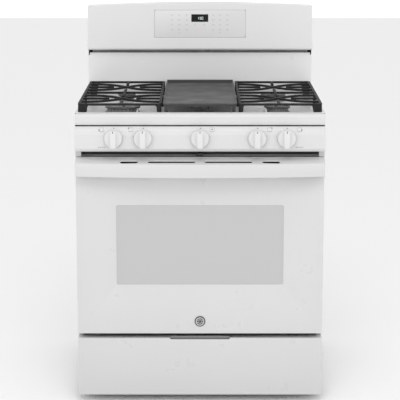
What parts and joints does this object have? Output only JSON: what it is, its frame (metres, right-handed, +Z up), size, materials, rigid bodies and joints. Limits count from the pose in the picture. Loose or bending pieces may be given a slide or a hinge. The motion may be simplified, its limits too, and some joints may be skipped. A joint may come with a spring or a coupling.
{
  "type": "freestanding gas range",
  "caption": "Freestanding gas range with a five-burner cooktop under cast grates, a griddle, a drop-down oven door, a storage drawer and a back guard with controls.",
  "frame": {"origin": "on the floor, at the middle of the outline", "axes": "+Z up, the door and knobs face -Y, +X to the right seen from the front"},
  "size_m": [0.759, 0.724, 1.2],
  "materials": {
    "white_enamel": "gloss",
    "guard_enamel": "gloss",
    "console_white": "gloss",
    "door_enamel": "gloss",
    "drawer_enamel": "gloss",
    "handle_white": "satin",
    "frame_enamel": "gloss",
    "zinc_steel": "satin",
    "black_nylon": "matte",
    "oven_enamel": "gloss speckled",
    "glass_wool": "matte",
    "burner_steel": "satin",
    "lamp_glass": "gloss",
    "gasket": "braided",
    "black_trim": "satin",
    "valve_alloy": "satin",
    "regulator_brass": "satin",
    "burner_aluminium": "cast",
    "cap_enamel": "semi gloss",
    "ceramic": "gloss",
    "keypad_film": "satin",
    "circuit_board": "satin",
    "window_glass": "gloss",
    "inner_glass": "gloss",
    "badge_metal": "satin",
    "rack_chrome": "gloss",
    "grate_iron": "satin",
    "griddle_metal": "satin",
    "knob_white": "gloss"
  },
  "bodies": {
    "root": {"side_panel_left": "white_enamel", "side_panel_right": "white_enamel", "rear_panel": "zinc_steel", "console_back": "zinc_steel", "base_frame": "zinc_steel", "leveling_legs": "black_nylon", "front_frame": "frame_enamel", "oven_liner": "oven_enamel", "oven_floor": "oven_enamel", "oven_insulation": "glass_wool", "bake_burner": "burner_steel", "broil_burner": "burner_steel", "oven_light": "lamp_glass", "door_gasket": "gasket", "hinge_receivers": "zinc_steel", "vent_trim": "black_trim", "door_latch": "black_trim", "drawer_rails": "zinc_steel", "control_panel": "white_enamel", "gas_manifold": "burner_steel", "gas_valves": "valve_alloy", "pressure_regulator": "regulator_brass", "cooktop": "white_enamel", "burner_heads_round": "burner_aluminium", "burner_head_oval": "burner_aluminium", "burner_cap_large": "cap_enamel", "burner_caps_standard": "cap_enamel", "burner_cap_small": "cap_enamel", "burner_cap_oval": "cap_enamel", "spark_igniters": "ceramic", "splash_panel": "guard_enamel", "console_shell": "console_white", "keypad": "keypad_film", "control_board": "circuit_board", "flue_duct": "zinc_steel"},
    "door": {"door_outer_panel": "door_enamel", "door_window": "window_glass", "door_inner_panel": "oven_enamel", "door_inner_glass": "inner_glass", "door_handle": "handle_white", "door_badge": "badge_metal", "door_hinges": "zinc_steel"},
    "drawer": {"drawer_front": "drawer_enamel", "drawer_box": "zinc_steel"},
    "rack_lower": {"oven_rack_lower": "rack_chrome"},
    "rack_upper": {"oven_rack_upper": "rack_chrome"},
    "grate_left": {"grate_left": "grate_iron"},
    "grate_right": {"grate_right": "grate_iron"},
    "griddle": {"griddle": "griddle_metal"},
    "stem_left_front": {"stem_left_front": "zinc_steel"},
    "knob_left_front": {"knob_left_front": "knob_white"},
    "stem_left_rear": {"stem_left_rear": "zinc_steel"},
    "knob_left_rear": {"knob_left_rear": "knob_white"},
    "stem_center": {"stem_center": "zinc_steel"},
    "knob_center": {"knob_center": "knob_white"},
    "stem_right_rear": {"stem_right_rear": "zinc_steel"},
    "knob_right_rear": {"knob_right_rear": "knob_white"},
    "stem_right_front": {"stem_right_front": "zinc_steel"},
    "knob_right_front": {"knob_right_front": "knob_white"}
  },
  "joints": [
    {"name": "door_hinge", "type": "hinge", "parent": "root", "child": "door", "pos_m": [0, -0.29, 0.236], "axis": [1, 0, 0], "range_deg": [0, 90], "stiffness_Nm_per_rad": 12, "springref_deg": -34.38},
    {"name": "drawer_slide", "type": "slide", "parent": "root", "child": "drawer", "axis": [0, -1, 0], "range_m": [0, 0.38]},
    {"name": "rack_lower_slide", "type": "slide", "parent": "root", "child": "rack_lower", "axis": [0, -1, 0], "range_m": [0, 0.283]},
    {"name": "rack_upper_slide", "type": "slide", "parent": "root", "child": "rack_upper", "axis": [0, -1, 0], "range_m": [0, 0.283]},
    {"name": "grate_left_lift", "type": "slide", "parent": "root", "child": "grate_left", "axis": [0, 0, 1], "range_m": [0, 0.06]},
    {"name": "grate_right_lift", "type": "slide", "parent": "root", "child": "grate_right", "axis": [0, 0, 1], "range_m": [0, 0.06]},
    {"name": "griddle_lift", "type": "slide", "parent": "root", "child": "griddle", "axis": [0, 0, 1], "range_m": [0, 0.06]},
    {"name": "knob_left_front_push", "type": "slide", "parent": "root", "child": "stem_left_front", "axis": [0, 1, 0], "range_m": [0, 0.004], "stiffness_N_per_m": 400},
    {"name": "knob_left_front_turn", "type": "hinge", "parent": "stem_left_front", "child": "knob_left_front", "pos_m": [-0.262, -0.348, 0.83908], "axis": [0, -1, 0], "range_deg": [0, 270]},
    {"name": "knob_left_rear_push", "type": "slide", "parent": "root", "child": "stem_left_rear", "axis": [0, 1, 0], "range_m": [0, 0.004], "stiffness_N_per_m": 400},
    {"name": "knob_left_rear_turn", "type": "hinge", "parent": "stem_left_rear", "child": "knob_left_rear", "pos_m": [-0.173, -0.348, 0.83908], "axis": [0, -1, 0], "range_deg": [0, 270]},
    {"name": "knob_center_push", "type": "slide", "parent": "root", "child": "stem_center", "axis": [0, 1, 0], "range_m": [0, 0.004], "stiffness_N_per_m": 400},
    {"name": "knob_center_turn", "type": "hinge", "parent": "stem_center", "child": "knob_center", "pos_m": [0, -0.348, 0.83908], "axis": [0, -1, 0], "range_deg": [0, 270]},
    {"name": "knob_right_rear_push", "type": "slide", "parent": "root", "child": "stem_right_rear", "axis": [0, 1, 0], "range_m": [0, 0.004], "stiffness_N_per_m": 400},
    {"name": "knob_right_rear_turn", "type": "hinge", "parent": "stem_right_rear", "child": "knob_right_rear", "pos_m": [0.173, -0.348, 0.83908], "axis": [0, -1, 0], "range_deg": [0, 270]},
    {"name": "knob_right_front_push", "type": "slide", "parent": "root", "child": "stem_right_front", "axis": [0, 1, 0], "range_m": [0, 0.004], "stiffness_N_per_m": 400},
    {"name": "knob_right_front_turn", "type": "hinge", "parent": "stem_right_front", "child": "knob_right_front", "pos_m": [0.262, -0.348, 0.83908], "axis": [0, -1, 0], "range_deg": [0, 270]}
  ],
  "couplings": [
    {"joint": "rack_lower_slide", "follows": "door_hinge", "m_per_rad": 0.18},
    {"joint": "rack_upper_slide", "follows": "door_hinge", "m_per_rad": 0.18}
  ]
}
